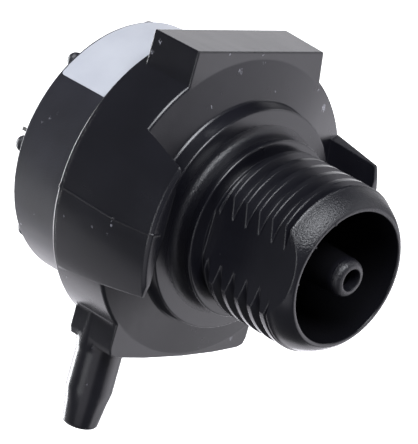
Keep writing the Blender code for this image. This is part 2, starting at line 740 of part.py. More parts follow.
def rear_cover():
    cover = rod(
        "rear_cover", COVER_RADIUS, COVER_REAR, COVER_FRONT, (0.0, 0.0), PARTS, BODY_STEPS
    )
    width = BLADE_WIDTH + 2.0 * SLOT_CLEARANCE
    height = BLADE_THICKNESS + 2.0 * SLOT_CLEARANCE
    cut_slots(cover, width, height, COVER_REAR, COVER_FRONT, "cover_slot")
    finish(cover, material("black_cover_moulding", (0.026, 0.027, 0.03), 0.5))


def blade_outline():
    """Half of the blade terminal's outline as (half width, height) from the tip to the tail."""
    return [
        (BLADE_TIP_WIDTH / 2.0, BLADE_END),
        (BLADE_WIDTH / 2.0, BLADE_END + BLADE_TIP_LENGTH),
        (BLADE_WIDTH / 2.0, PART_FRONT),
        (BLADE_TAIL_WIDTH / 2.0, PART_FRONT),
        (BLADE_TAIL_WIDTH / 2.0, BLADE_TAIL_END),
    ]


def terminals():
    """Three blade terminals that pass through the rear cover into the board."""
    half = blade_outline()
    outline = half + [(-width, height) for width, height in reversed(half)]
    for index, place in enumerate(BLADE_PLACES):
        blade = prism(f"terminal_{index + 1}", outline, -BLADE_THICKNESS / 2.0, BLADE_THICKNESS / 2.0, PARTS)
        blade.data.transform(Matrix.Rotation(math.radians(90.0), 4, "X"))
        turn_to_place(blade, place)
        reach = BLADE_THICKNESS + CUT_OVERRUN
        hole = rod(f"blade_hole_{index + 1}", BLADE_HOLE_RADIUS, -reach, reach, (0.0, 0.0), CUTTERS, PIN_STEPS)
        hole.data.transform(Matrix.Rotation(math.radians(90.0), 4, "X"))
        hole.data.transform(Matrix.Translation((0.0, 0.0, BLADE_END + BLADE_HOLE_BACK)))
        turn_to_place(hole, place)
        join_or_cut(blade, hole, "DIFFERENCE")
        finish(blade, material(f"tinned_brass_{index + 1}", (0.72, 0.7, 0.64), 0.3, 1.0))


def lay_over():
    """Turns every piece and cutter so that the port faces -Y and the top lug is up."""
    turn = Matrix.Rotation(math.radians(90.0), 4, "X")
    for obj in [*PARTS.objects, *CUTTERS.objects]:
        obj.matrix_world = turn @ obj.matrix_world


front_housing()
rear_drum()
drum_label()
sensing_stack()
circuit_board()
board_parts()
cell_pins()
rear_cover()
terminals()
bpy.context.view_layer.update()
lay_over()
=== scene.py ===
# %% [markdown]
# # A pressure sensor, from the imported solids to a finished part
# The sensor is a small black moulding: a threaded port with two flats, a boss and a disc with
# grips and lugs, a hose stub, and behind it a drum that carries a label, a cover and three blades.
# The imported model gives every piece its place, so it is loaded first and nothing in it is moved.

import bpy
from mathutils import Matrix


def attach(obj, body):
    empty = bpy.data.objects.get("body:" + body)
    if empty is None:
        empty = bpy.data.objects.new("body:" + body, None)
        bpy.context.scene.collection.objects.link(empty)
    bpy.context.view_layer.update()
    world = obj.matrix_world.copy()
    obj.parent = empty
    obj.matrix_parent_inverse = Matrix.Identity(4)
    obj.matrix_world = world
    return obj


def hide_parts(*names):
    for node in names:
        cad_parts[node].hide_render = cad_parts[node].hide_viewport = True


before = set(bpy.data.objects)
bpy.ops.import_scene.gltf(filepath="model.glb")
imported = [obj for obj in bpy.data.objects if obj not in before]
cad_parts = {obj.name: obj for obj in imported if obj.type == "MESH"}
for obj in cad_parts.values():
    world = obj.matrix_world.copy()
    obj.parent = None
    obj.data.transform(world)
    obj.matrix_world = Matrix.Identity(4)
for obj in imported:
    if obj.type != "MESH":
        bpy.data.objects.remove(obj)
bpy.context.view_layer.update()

# %% [markdown]
# ## Working in millimetres
# The part is small, so shapes are drawn in millimetres and made metres when they are finished.
# Exact Booleans and merged doubles are also safer at that size. The port points to -Y, so a
# distance forward of the disc's front plane is a negative y, and one behind it is positive.
# Points of a turned form closer than SAME_POINT become one, and a cut goes through points closer
# to it than SAME_CUT.

# %% Imports and the scale
import math

import bmesh
import bpy
from mathutils import Matrix, Vector

MM = 0.001
FULL_TURN = 2.0 * math.pi
SAME_POINT = 0.0005
SAME_CUT = 0.0001

# %% [markdown]
# ## Lathe work
# Most of a moulding like this is round. An outline of (radius, forward) points is spun about the
# port's axis. A full spin merges its first and last copy, and the points on the axis become one.


# %% Turning an outline
def turned(outline, steps=160, closed=False):
    """A form turned round the port's axis from points of (radius, distance forward)."""
    form = bmesh.new()
    points = [form.verts.new((radius, -forward, 0.0)) for radius, forward in outline]
    lines = [form.edges.new(pair) for pair in zip(points, points[1:])]
    if closed:
        lines.append(form.edges.new((points[-1], points[0])))
    bmesh.ops.spin(
        form, geom=points + lines, cent=(0, 0, 0), axis=(0, -1, 0),
        angle=FULL_TURN, steps=steps, use_merge=True, use_duplicate=False,
    )
    bmesh.ops.remove_doubles(form, verts=form.verts, dist=SAME_POINT)
    bmesh.ops.recalc_face_normals(form, faces=form.faces)
    return form


def bow(centre, radius, start, end, count=4):
    """Points on an arc of an outline, its angles in degrees from outwards towards forward."""
    angles = [math.radians(start + (end - start) * step / count) for step in range(count + 1)]
    return [
        (centre[0] + radius * math.cos(angle), centre[1] + radius * math.sin(angle))
        for angle in angles
    ]


print("lathe ready")

# %% [markdown]
# ## Prisms, rounded edges and Booleans
# Lugs, grips and blades are straight shapes. A front view outline is pushed back as a prism, its
# edges get a small round as every moulded edge has, and the shapes are then joined and cut with
# exact Booleans, all in one stack, so that the housing comes out as the one piece it is.


# %% Straight shapes
def prism(outline, front, rear):
    """A front view outline of (x, z) points, filled and pushed from front to rear."""
    form = bmesh.new()
    face = form.faces.new([form.verts.new((x, -front, z)) for x, z in outline])
    grown = bmesh.ops.extrude_face_region(form, geom=[face])
    pushed = [item for item in grown["geom"] if isinstance(item, bmesh.types.BMVert)]
    bmesh.ops.translate(form, verts=pushed, vec=(0.0, front - rear, 0.0))
    bmesh.ops.recalc_face_normals(form, faces=form.faces)
    return form


def block(low, high):
    """A box between two corners."""
    form = bmesh.new()
    bmesh.ops.create_cube(form, size=1.0)
    size = [end - start for start, end in zip(low, high)]
    centre = [(end + start) / 2.0 for start, end in zip(low, high)]
    bmesh.ops.scale(form, verts=form.verts, vec=size)
    bmesh.ops.translate(form, verts=form.verts, vec=centre)
    return form


def soften(form, round_size, sharper_than=35.0, segments=3):
    """Rounds every edge of a form that is sharper than an angle in degrees."""
    limit = math.radians(sharper_than)
    edges = [e for e in form.edges if len(e.link_faces) == 2 and e.calc_face_angle() > limit]
    bmesh.ops.bevel(
        form, geom=edges, offset=round_size, offset_type="OFFSET", segments=segments,
        profile=0.5, affect="EDGES", material=-1, clamp_overlap=True,
    )
    return form


print("prisms and rounds ready")


# %% Joining and cutting
def helper(form, name):
    """An object for a Boolean, from a form that is used up by it."""
    mesh = bpy.data.meshes.new(name)
    form.to_mesh(mesh)
    form.free()
    made = bpy.data.objects.new(name, mesh)
    bpy.context.scene.collection.objects.link(made)
    return made


def carved(blank, steps):
    """Runs (form, operation) steps on a blank as exact Booleans and gives the new form."""
    target = helper(blank, "blank")
    tools = [helper(form, f"tool_{index}") for index, (form, _) in enumerate(steps)]
    for tool, (_, operation) in zip(tools, steps):
        step = target.modifiers.new(tool.name, "BOOLEAN")
        step.operation = operation
        step.solver = "EXACT"
        step.object = tool
    bpy.context.view_layer.update()
    shaped = target.evaluated_get(bpy.context.evaluated_depsgraph_get())
    form = bmesh.new()
    form.from_mesh(shaped.to_mesh())
    for used in (target, *tools):
        mesh = used.data
        bpy.data.objects.remove(used, do_unlink=True)
        bpy.data.meshes.remove(mesh)
    return form


print("Booleans ready")


# %% From a form in millimetres to a piece of the part
def piece(form, name, replaced, finish, crease=30.0):
    """A finished piece in metres, in its place, that rides on the part for some CAD nodes."""
    bmesh.ops.scale(form, verts=form.verts, vec=(MM, MM, MM))
    mesh = bpy.data.meshes.new(name)
    form.to_mesh(mesh)
    form.free()
    made = bpy.data.objects.new(name, mesh)
    bpy.context.scene.collection.objects.link(made)
    mesh.materials.append(finish)
    mesh.shade_smooth()
    mesh.set_sharp_from_angle(angle=math.radians(crease))
    evener = made.modifiers.new("even_shading", "WEIGHTED_NORMAL")
    evener.keep_sharp = True
    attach(made, "root")
    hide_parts(*replaced)
    print(f"{name}: {len(mesh.polygons)} faces, stands for {', '.join(replaced)}")


print("pieces stand for CAD nodes and ride on the body root")

# %% [markdown]
# ## The camera
# The photograph looks down on the port from its left, at 17 degrees, with a long lens, and it is
# turned by 16 degrees, so the part leans to the right. The angles, in radians, and the focal
# length, in pixels of the photograph, were found by fitting the port's circles and the lug's
# corners.

# %% Camera at the photograph's angle
AZIMUTH = -0.8612149
ELEVATION = 0.2916109
LEAN = 0.2751731
DISTANCE = 253.5002 * MM
TARGET = Vector((-4.501862, -3.0, 0.270237)) * MM
PHOTO_WIDTH = 418.0
FOCAL_LENGTH = 3490.1677

away = Vector((
    math.sin(AZIMUTH) * math.cos(ELEVATION),
    -math.cos(AZIMUTH) * math.cos(ELEVATION),
    math.sin(ELEVATION),
))
level = Vector((math.cos(AZIMUTH), math.sin(AZIMUTH), 0.0))
upright = away.cross(level)
right = math.cos(LEAN) * level + math.sin(LEAN) * upright
above = -math.sin(LEAN) * level + math.cos(LEAN) * upright

lens = bpy.data.cameras.new("photo_camera")
lens.sensor_fit = "HORIZONTAL"
lens.sensor_width = 36.0
lens.lens = FOCAL_LENGTH / PHOTO_WIDTH * lens.sensor_width
camera = bpy.data.objects.new("photo_camera", lens)
camera.matrix_world = Matrix.Translation(TARGET + DISTANCE * away) @ Matrix(
    (right, above, away)
).transposed().to_4x4()
bpy.context.scene.collection.objects.link(camera)
bpy.context.scene.camera = camera
print("lens in mm:", round(lens.lens, 1), "distance in mm:", round(DISTANCE / MM, 1))

# %% [markdown]
# ## The front housing's turned body
# Nipple, bore, lip, nose, threaded spigot, relief, collar, neck, boss and dished disc are one
# moulding. Its outline runs from the tip of the nipple in the middle of the port down into the
# bore, over the lip, back along the outside to the disc's rim, and in to the axis behind.

# %% Radii and distances of the turned body, in millimetres
DISC_RIM = 12.09
DISC_REAR = -5.3
DISH_RISE = 0.99
BOSS = 8.77
BOSS_FACE = 2.28
NECK = 6.86
COLLAR = 7.05
COLLAR_FACE = 4.15
CREST = 6.5785
ROOT = 5.9
MOUTH_FACE = 13.22
MOUTH = 5.15
NOSE = 6.4
BORE_FLOOR = 3.52
NIPPLE = 1.48
NIPPLE_TIP = 13.6
PASSAGE = 0.87
PITCH = 1.337
print("thread:", 2 * CREST, "mm over its crests, pitch", PITCH, "mm")


# %% The outline, from the nipple's tip to the disc's rim
def housing_outline():
    """Points of (radius, forward) in the order of the names at the end."""
    nipple = [
        (0.0, NIPPLE_TIP),
        *bow((NIPPLE - 0.55, NIPPLE_TIP - 0.5), 0.5, 90, 12, 6),
        (NIPPLE, NIPPLE_TIP - 0.7),
        (NIPPLE + 0.3, BORE_FLOOR + 0.6),
        *bow((NIPPLE + 0.9, BORE_FLOOR + 0.6), 0.6, 195, 270, 4),
    ]
    bore = [
        *bow((MOUTH - 0.9, BORE_FLOOR + 0.6), 0.6, 270, 352, 4),
        (MOUTH, MOUTH_FACE - 0.09),
    ]
    nose = [
        *bow((MOUTH + 0.09, MOUTH_FACE - 0.09), 0.09, 150, 90, 2),
        *bow((5.36, MOUTH_FACE - 0.16), 0.16, 80, 30, 2),
        (5.73, 12.93),
        (5.99, 12.56),
        (6.2, 12.17),
        (6.35, 11.86),
        (NOSE, 11.7),
        (6.46, 11.6),
        (CREST, 11.43),
    ]
    spigot = [
        (CREST, 4.98),
        (ROOT + 0.06, 4.55),
        *bow((ROOT + 0.1, 4.28), 0.1, 150, 210, 2),
    ]
    neck = [
        (COLLAR - 0.5, COLLAR_FACE - 0.02),
        *bow((COLLAR - 0.14, COLLAR_FACE - 0.14), 0.14, 85, 5, 4),
        (COLLAR - 0.02, 3.8),
        (NECK, 3.3),
        *bow((NECK + 0.5, BOSS_FACE + 0.5), 0.5, 180, 270, 6),
    ]
    boss = [
        *bow((BOSS - 0.13, BOSS_FACE - 0.13), 0.13, 90, 8, 4),
        (BOSS + 0.1, DISH_RISE + 0.12),
        (BOSS + 0.2, DISH_RISE - 0.02),
    ]
    disc = [
        (DISC_RIM - 0.34, 0.14),
        *bow((DISC_RIM - 0.3, -0.17), 0.3, 75, 3, 5),
        (DISC_RIM, DISC_REAR + 0.22),
        *bow((DISC_RIM - 0.2, DISC_REAR + 0.2), 0.2, 0, -90, 4),
        (0.0, DISC_REAR),
    ]
    return nipple + bore + nose + spigot + neck + boss + disc


print("points in the outline:", len(housing_outline()))

# %% [markdown]
# ## The thread
# A right-hand pipe thread makes a little over five turns from the relief to the nose. A groove
# profile, wide at the crest and narrow at the root, is spun about the axis while it travels
# forward by the pitch each turn, and is trimmed square at both ends. Cutting that helix from the
# round spigot leaves the ridges, and the two flats, cut afterwards, end them at both sides.


# %% The groove cutter
THREAD_START = COLLAR_FACE + 0.05
THREAD_END = 11.47
PHASE = 4.219
START_ANGLE = math.radians(-60.0)
TURNS = 6.75
STEPS_A_TURN = 96
HALF_GROOVE = ((ROOT, 0.07), (ROOT + 0.04, 0.11), (CREST + 0.01, 0.46), (6.95, 0.62))


def thread_groove():
    """The groove as one closed helical form, from the relief to the nose."""
    start = PHASE + PITCH * START_ANGLE / FULL_TURN
    section = [(radius, -along) for radius, along in HALF_GROOVE] + list(reversed(HALF_GROOVE))
    form = bmesh.new()
    ends = [form.verts.new((radius, -start - along, 0.0)) for radius, along in section]
    face = form.faces.new(ends)
    bmesh.ops.spin(
        form, geom=[*form.verts, *form.edges, face], cent=(0, 0, 0), axis=(0, -1, 0),
        dvec=(0.0, -PITCH / STEPS_A_TURN, 0.0), angle=FULL_TURN * TURNS,
        steps=round(STEPS_A_TURN * TURNS), use_merge=False, use_duplicate=False,
    )
    turn = Matrix.Rotation(START_ANGLE, 3, (0, -1, 0))
    bmesh.ops.rotate(form, verts=form.verts, cent=(0, 0, 0), matrix=turn)
    for stop, facing in ((THREAD_START, 1), (THREAD_END, -1)):
        cut = bmesh.ops.bisect_plane(
            form, geom=[*form.verts, *form.edges, *form.faces], dist=SAME_CUT,
            plane_co=(0.0, -stop, 0.0), plane_no=(0, facing, 0), clear_outer=True,
        )
        rim = [item for item in cut["geom_cut"] if isinstance(item, bmesh.types.BMEdge)]
        bmesh.ops.holes_fill(form, edges=rim, sides=0)
    bmesh.ops.recalc_face_normals(form, faces=form.faces)
    open_edges = sum(1 for edge in form.edges if len(edge.link_faces) != 2)
    print("groove:", len(form.faces), "faces, open edges:", open_edges)
    return form


print("the thread runs over", round(THREAD_END - THREAD_START, 2), "mm")

# %% [markdown]
# ## Lugs and grips
# The upper lug is a block whose right side slopes outwards behind, and the lower one has a
# slightly crowned underside with round corners. Two grips stand in front of the disc's rim. Each
# is a wedge kept only inside a drafted cone, so its outside is round and runs on from the rim.


# %% The lugs
UPPER_LUG = ((-7.25, -0.12, 6.0), (6.25, 4.6, 12.37))
LOWER_LEFT = -7.95
LOWER_RIGHT = 6.75
LOWER_TOP = -6.0
LOWER_REAR = -4.4
LUG_ROUND = 0.12
COVE = 0.55


def upper_lug():
    """A block whose right side is moved outwards at the rear, and more so at the foot."""
    form = block(*UPPER_LUG)
    for corner in form.verts:
        if corner.co.x > 0.0:
            corner.co.x += 0.65 if corner.co.y > 2.5 else 0.0
            corner.co.x += 1.3 if corner.co.z < 9.0 else 0.0
    return soften(form, LUG_ROUND)


def lower_lug():
    """A prism with a crowned underside, whose corners keep their own round."""
    outline = [
        (LOWER_LEFT, LOWER_TOP), (LOWER_LEFT, -10.95), (-7.75, -11.48), (-7.2, -11.71),
        (-4.0, -11.95), (0.0, -12.05), (3.4, -11.95), (6.0, -11.71), (6.55, -11.48),
        (LOWER_RIGHT, -10.95), (LOWER_RIGHT, LOWER_TOP),
    ]
    form = prism(outline, 0.12, LOWER_REAR)
    return soften(form, LUG_ROUND, sharper_than=60.0)


def root_cove(face, size):
    """The rounded inside corner between the disc's rim and the flat side of a lower lug."""
    side = math.copysign(1.0, face)
    centre_x = face + side * size
    centre_z = -math.sqrt((DISC_RIM + size) ** 2 - centre_x ** 2)
    rim_angle = math.degrees(math.atan2(-centre_z, -centre_x))
    lug_angle = 0.0 if side < 0 else 180.0
    cove = bow((centre_x, centre_z), size, rim_angle, lug_angle, 6)
    inside = [(face - side * 0.4, centre_z - 0.1), (face - side * 0.4, centre_z + 0.8)]
    return prism([*cove, *inside], -0.2, -4.25)


print("lower lug:", LOWER_RIGHT - LOWER_LEFT, "mm wide")

# %% The grips
LEFT_GRIP = 4.4
RIGHT_GRIP = 4.8
GRIP_INSIDE = 10.6
GRIP_ROUND = 0.06


def grip(height, turned_over):
    """A grip, drawn on the left with its steep end up; the right one is it turned over.

    Its corners spread with the distance down from its front and out from its inner side.
    """
    rear = DISC_REAR + 0.4
    form = block((-1.0, -1.0, -1.0), (1.0, 1.0, 1.0))
    for corner in form.verts:
        forward = height + 2.0 if corner.co.y < 0.0 else rear
        down = (height - forward) / height
        out = 14.0 if corner.co.x < 0.0 else 10.45 - 0.95 * down
        beyond = out - GRIP_INSIDE
        if corner.co.z > 0.0:
            corner.co.z = 5.15 + 1.45 * down + 0.6 * beyond
        else:
            corner.co.z = -4.9 - 0.75 * down - 0.1 * beyond
        corner.co.x = -out
        corner.co.y = -forward
    cut = bmesh.ops.bisect_plane(
        form, geom=[*form.verts, *form.edges, *form.faces], dist=SAME_CUT,
        plane_co=(-GRIP_INSIDE, -height, -3.8),
        plane_no=Vector((0.4, -3.7, -1.0)).normalized(), clear_outer=True,
    )
    rim = [item for item in cut["geom_cut"] if isinstance(item, bmesh.types.BMEdge)]
    bmesh.ops.holes_fill(form, edges=rim, sides=0)
    if turned_over:
        turn = Matrix.Rotation(math.pi, 3, (0, 1, 0))
        bmesh.ops.rotate(form, verts=form.verts, cent=(0, 0, 0), matrix=turn)
    bmesh.ops.recalc_face_normals(form, faces=form.faces)
    cone = turned([
        (0.0, height - 0.03), (11.5, height - 0.03), (11.72, height - 0.27),
        (DISC_RIM + 0.005, -0.1), (DISC_RIM + 0.005, rear), (0.0, rear),
    ])
    skew = Matrix.Rotation(0.01, 3, (0, 1, 0))
    bmesh.ops.rotate(cone, verts=cone.verts, cent=(0, 0, 0), matrix=skew)
    trimmed = carved(form, [(cone, "INTERSECT")])
    return soften(trimmed, GRIP_ROUND, sharper_than=25.0, segments=2)


print("grips stand", LEFT_GRIP, "and", RIGHT_GRIP, "mm forward")

# %% [markdown]
# ## Hose stub
# The reference pressure comes in through a small stub under the lower lug. It is turned like the
# port, tapers towards its rounded end so that a hose slides on, and has a fine bore.


# %% The stub and its bore
STUB_PLACE = (-6.0, 2.65, 0.0)
STUB_END = 18.42
STUB_FOOT = 7.8
STUB = 1.98
STUB_NECK = 1.8
STUB_BORE = 0.75


def under_lug(form):
    """Turns a form from the port's axis onto the stub's, which points straight down."""
    stand = Matrix.Translation(STUB_PLACE) @ Matrix.Rotation(math.radians(90.0), 4, "X")
    bmesh.ops.transform(form, matrix=stand, verts=form.verts)
    return form


def hose_stub():
    """The stub from its rounded end over the taper to its thicker foot in the lug."""
    outline = [
        (0.0, STUB_END), (0.95, STUB_END), *bow((1.05, STUB_END - 0.35), 0.35, 90, 10, 5),
        (1.62, 16.4), (STUB_NECK, 15.4), (STUB_NECK, 12.3), (STUB, 11.9), (STUB, STUB_FOOT),
        (0.0, STUB_FOOT),
    ]
    return under_lug(turned(outline, 64))


def stub_bore():
    """The cutter of the fine bore, longer than the stub at both ends."""
    outline = [(0.0, 19.4), (STUB_BORE, 19.4), (STUB_BORE, 6.0), (0.0, 6.0)]
    return under_lug(turned(outline, 32))


print("hose stub:", 2 * STUB, "mm thick, bore", 2 * STUB_BORE, "mm")

# %% [markdown]
# ## Hollows and flats
# Behind the disc the housing is open: a passage from the nipple, the pressure chamber, the seat
# for the sensing cell and the socket for the drum. The flats go through the thread.


# %% The rear hollow and the flats
CHAMBER = 4.5
CELL_SEAT = 9.2
SOCKET = 10.42
SOCKET_MOUTH = 10.6
FLAT = 5.65
FLAT_REAR = 4.27


def rear_hollow():
    """The cutter of passage, chamber, cell seat and socket; its ends stand out of the body."""
    outline = [
        (0.0, 15.7), (PASSAGE, 15.7), (PASSAGE, 1.42), (CHAMBER, 1.42), (CHAMBER, -1.5),
        (CELL_SEAT, -1.5), (CELL_SEAT, -3.4), (SOCKET, -3.4), (SOCKET, -5.15),
        (SOCKET_MOUTH, -5.31), (SOCKET_MOUTH, -7.3), (0.0, -7.3),
    ]
    return turned(outline)


def port_flat(side):
    """The cutter of one flat, on the left (-1) or the right (1) of the port."""
    edges = sorted((side * FLAT, side * 9.0))
    return block((edges[0], -15.2, -6.6), (edges[1], -FLAT_REAR, 6.6))


print("flats:", 2 * FLAT, "mm apart")

# %% [markdown]
# ## Marks of the mould
# The housing comes out of a mould that opens up and down, so a fine line of plastic stands along
# the middle of both sides. It climbs over the grip to its front, with a small step where two
# inserts of the mould meet, and a tiny lump is left where it reaches the rear rim. A few grains
# of flash stand at the port's lip, at the thread's start and on the collar.

# %% The parting line
LINE_PROUD = 0.03
LINE_HALF = 0.07
LUMP_HALF = 0.15
LINE_STEP = 0.7
LINE_REAR = -5.15


def parting_line(height, turned_over):
    """Two thin plates, a hair larger than rim and grip, whose edges stand out as the line."""
    proud = DISC_RIM + LINE_PROUD
    behind = prism(
        [(-11.0, LINE_REAR), (-proud, LINE_REAR), (-proud, LINE_STEP), (-11.0, LINE_STEP)],
        LINE_HALF, -LINE_HALF,
    )
    for corner in behind.verts:
        corner.co.y -= 0.15 * (corner.co.z - LINE_REAR) / (LINE_STEP - LINE_REAR)
    ahead = prism(
        [
            (-11.0, LINE_STEP), (-12.05, LINE_STEP), (-11.755, height - 0.28), (-11.52, height),
            (-10.75, height),
        ],
        LINE_HALF, -LINE_HALF,
    )
    for corner in ahead.verts:
        corner.co.y += 0.25 * (corner.co.z - LINE_STEP) / 3.7 - 0.2
    end_lump = prism(
        [(-11.6, -5.22), (-proud, -5.22), (-proud, -4.85), (-11.6, -4.95)], LUMP_HALF, -LUMP_HALF
    )
    plates = carved(behind, [(ahead, "UNION"), (end_lump, "UNION")])
    stand = Matrix.Rotation(math.radians(90.0), 4, "X")
    if turned_over:
        stand = Matrix.Rotation(math.pi, 4, "Y") @ stand
    bmesh.ops.transform(plates, matrix=stand, verts=plates.verts)
    return plates


print("the line stands", LINE_PROUD, "mm proud")


# %% Flash
def grain_of_flash(x, forward, z, size):
    """A grain that the mould left, or that was rubbed up later, a little longer than high."""
    form = bmesh.new()
    bmesh.ops.create_icosphere(form, subdivisions=2, radius=size)
    bmesh.ops.scale(form, verts=form.verts, vec=(1.3, 0.8, 1.0))
    bmesh.ops.translate(form, verts=form.verts, vec=(x, -forward, z))
    return form


FLASH = (
    (-3.01, 13.17, 4.26, 0.13), (-3.42, 13.15, 4.04, 0.11), (-4.45, 13.17, 2.55, 0.11),
    (-5.11, 13.1, 1.04, 0.1), (-5.12, 13.12, -0.27, 0.1), (-4.9, 5.3, 4.4, 0.13),
    (-2.5, 4.12, 6.5, 0.1),
)
print("grains of flash:", len(FLASH))

# %% [markdown]
# ## Finishes: black moulded plastic
# The plastic is a satin charcoal black with a fine spark-eroded grain. The grain bends the
# reflection, a fine round on every edge catches the light, and a few pale specks and rub marks
# sit on it. One pale spot on the hose stub is a painted glint. In the bore the colour is painted
# darker and the reflection weaker, as painted shade. All patterns are in metres on Object
# coordinates, so a scale is in cycles a metre.


# %% Small helpers for node materials
def new_finish(name):
    """A material with its shader and a reader of Object coordinates."""
    made = bpy.data.materials.new(name)
    made.use_nodes = True
    nodes = made.node_tree.nodes
    coords = nodes.new("ShaderNodeTexCoord")
    return made, nodes, made.node_tree.links, nodes["Principled BSDF"], coords.outputs["Object"]


def noise(nodes, links, coords, scale, detail=3.0, roughness=0.5, stretch=None):
    """A noise pattern, stretched along an axis where a factor is under one."""
    if stretch:
        mapping = nodes.new("ShaderNodeMapping")
        mapping.inputs["Scale"].default_value = stretch
        links.new(coords, mapping.inputs["Vector"])
        coords = mapping.outputs["Vector"]
    pattern = nodes.new("ShaderNodeTexNoise")
    pattern.inputs["Scale"].default_value = scale
    pattern.inputs["Detail"].default_value = detail
    pattern.inputs["Roughness"].default_value = roughness
    links.new(coords, pattern.inputs["Vector"])
    return pattern.outputs["Fac"]


def ramp(nodes, links, value, stops):
    """Turns a value into colours by (position, colour) stops."""
    made = nodes.new("ShaderNodeValToRGB")
    points = made.color_ramp.elements
    while len(points) < len(stops):
        points.new(0.5)
    for point, (position, colour) in zip(points, stops):
        point.position = position
        point.color = (*colour, 1.0)
    links.new(value, made.inputs["Fac"])
    return made.outputs["Color"]


def between(nodes, links, value, low, high, start=0.0, end=1.0):
    """Maps a value from start..end onto low..high."""
    made = nodes.new("ShaderNodeMapRange")
    made.inputs["From Min"].default_value = start
    made.inputs["From Max"].default_value = end
    made.inputs["To Min"].default_value = low
    made.inputs["To Max"].default_value = high
    links.new(value, made.inputs["Value"])
    return made.outputs["Result"]


def mixed(nodes, links, factor, first, second):
    """Mixes two colours by a factor."""
    made = nodes.new("ShaderNodeMix")
    made.data_type = "RGBA"
    links.new(factor, made.inputs["Factor"])
    for value, socket in ((first, made.inputs["A"]), (second, made.inputs["B"])):
        if isinstance(value, tuple):
            socket.default_value = (*value, 1.0)
        else:
            links.new(value, socket)
    return made.outputs["Result"]


def bumped(nodes, links, height, distance, strength=1.0, under=None):
    """A bump of a height pattern, its depth in metres, laid over another normal."""
    made = nodes.new("ShaderNodeBump")
    made.inputs["Distance"].default_value = distance
    if isinstance(strength, float):
        made.inputs["Strength"].default_value = strength
    else:
        links.new(strength, made.inputs["Strength"])
    links.new(height, made.inputs["Height"])
    if under:
        links.new(under, made.inputs["Normal"])
    return made.outputs["Normal"]


print("material helpers ready")


# %% Zones on the part
ZONE_EDGE = 0.12
RAG_SCALE = 6000.0
RAG_REACH = 0.0005


def product(nodes, links, *values):
    """Multiplies values, each a socket or a number."""
    result = values[0]
    for value in values[1:]:
        made = nodes.new("ShaderNodeMath")
        made.operation = "MULTIPLY"
        for factor, socket in ((result, made.inputs[0]), (value, made.inputs[1])):
            if isinstance(factor, float):
                socket.default_value = factor
            else:
                links.new(factor, socket)
        result = made.outputs[0]
    return result


def reach_and_depth(nodes, links, coords):
    """The distance from the port's axis, and the y and z of a point."""
    split = nodes.new("ShaderNodeSeparateXYZ")
    links.new(coords, split.inputs["Vector"])
    flat = nodes.new("ShaderNodeVectorMath")
    flat.operation = "MULTIPLY"
    flat.inputs[1].default_value = (1.0, 0.0, 1.0)
    links.new(coords, flat.inputs[0])
    reach = nodes.new("ShaderNodeVectorMath")
    reach.operation = "LENGTH"
    links.new(flat.outputs["Vector"], reach.inputs[0])
    return reach.outputs["Value"], split.outputs["Y"], split.outputs["Z"]


def ring_zone(nodes, links, reach, back, inner, outer, front, rear):
    """One between two radii and two distances forward, all in millimetres, else zero."""
    return product(
        nodes, links,
        between(nodes, links, reach, 0.0, 1.0, (inner - ZONE_EDGE) * MM, inner * MM),
        between(nodes, links, reach, 1.0, 0.0, outer * MM, (outer + ZONE_EDGE) * MM),
        between(nodes, links, back, 0.0, 1.0, -(front + ZONE_EDGE) * MM, -front * MM),
        between(nodes, links, back, 1.0, 0.0, -rear * MM, -(rear - ZONE_EDGE) * MM),
    )


def greatest(nodes, links, *values):
    """The greatest of some sockets."""
    result = values[0]
    for value in values[1:]:
        made = nodes.new("ShaderNodeMath")
        made.operation = "MAXIMUM"
        links.new(result, made.inputs[0])
        links.new(value, made.inputs[1])
        result = made.outputs[0]
    return result


# Pale ragged spots: rub marks, and on the housing one painted glint on the hose stub.
def rubbed(nodes, links, coords, places):
    """One inside small ragged spots, each (x, y, z, radius) in millimetres, else zero."""
    shake = nodes.new("ShaderNodeTexNoise")
    shake.inputs["Scale"].default_value = RAG_SCALE
    links.new(coords, shake.inputs["Vector"])
    spread = nodes.new("ShaderNodeVectorMath")
    spread.operation = "MULTIPLY_ADD"
    spread.inputs[1].default_value = (RAG_REACH, RAG_REACH, RAG_REACH)
    links.new(shake.outputs["Color"], spread.inputs[0])
    links.new(coords, spread.inputs[2])
    spots = []
    for x, y, z, size in places:
        span = nodes.new("ShaderNodeVectorMath")
        span.operation = "DISTANCE"
        span.inputs[1].default_value = [value * MM + RAG_REACH / 2.0 for value in (x, y, z)]
        links.new(spread.outputs["Vector"], span.inputs[0])
        spots.append(between(
            nodes, links, span.outputs["Value"], 1.0, 0.0, 0.6 * size * MM, 1.1 * size * MM
        ))
    return greatest(nodes, links, *spots)


print("zones ready")


# %% Black moulded plastic
# The pale grey of specks, rub marks and one painted glint.
RUB_AND_GLINT_GREY = (0.24, 0.24, 0.27)
# The bore's colour: painted shade that darkens the deep hole.
BORE_PAINTED_SHADE = (0.0042, 0.0042, 0.005)
EDGE_ROUND = 0.00014
COARSE_ROUGHNESS = 0.36
PLASTIC_IOR = 1.52


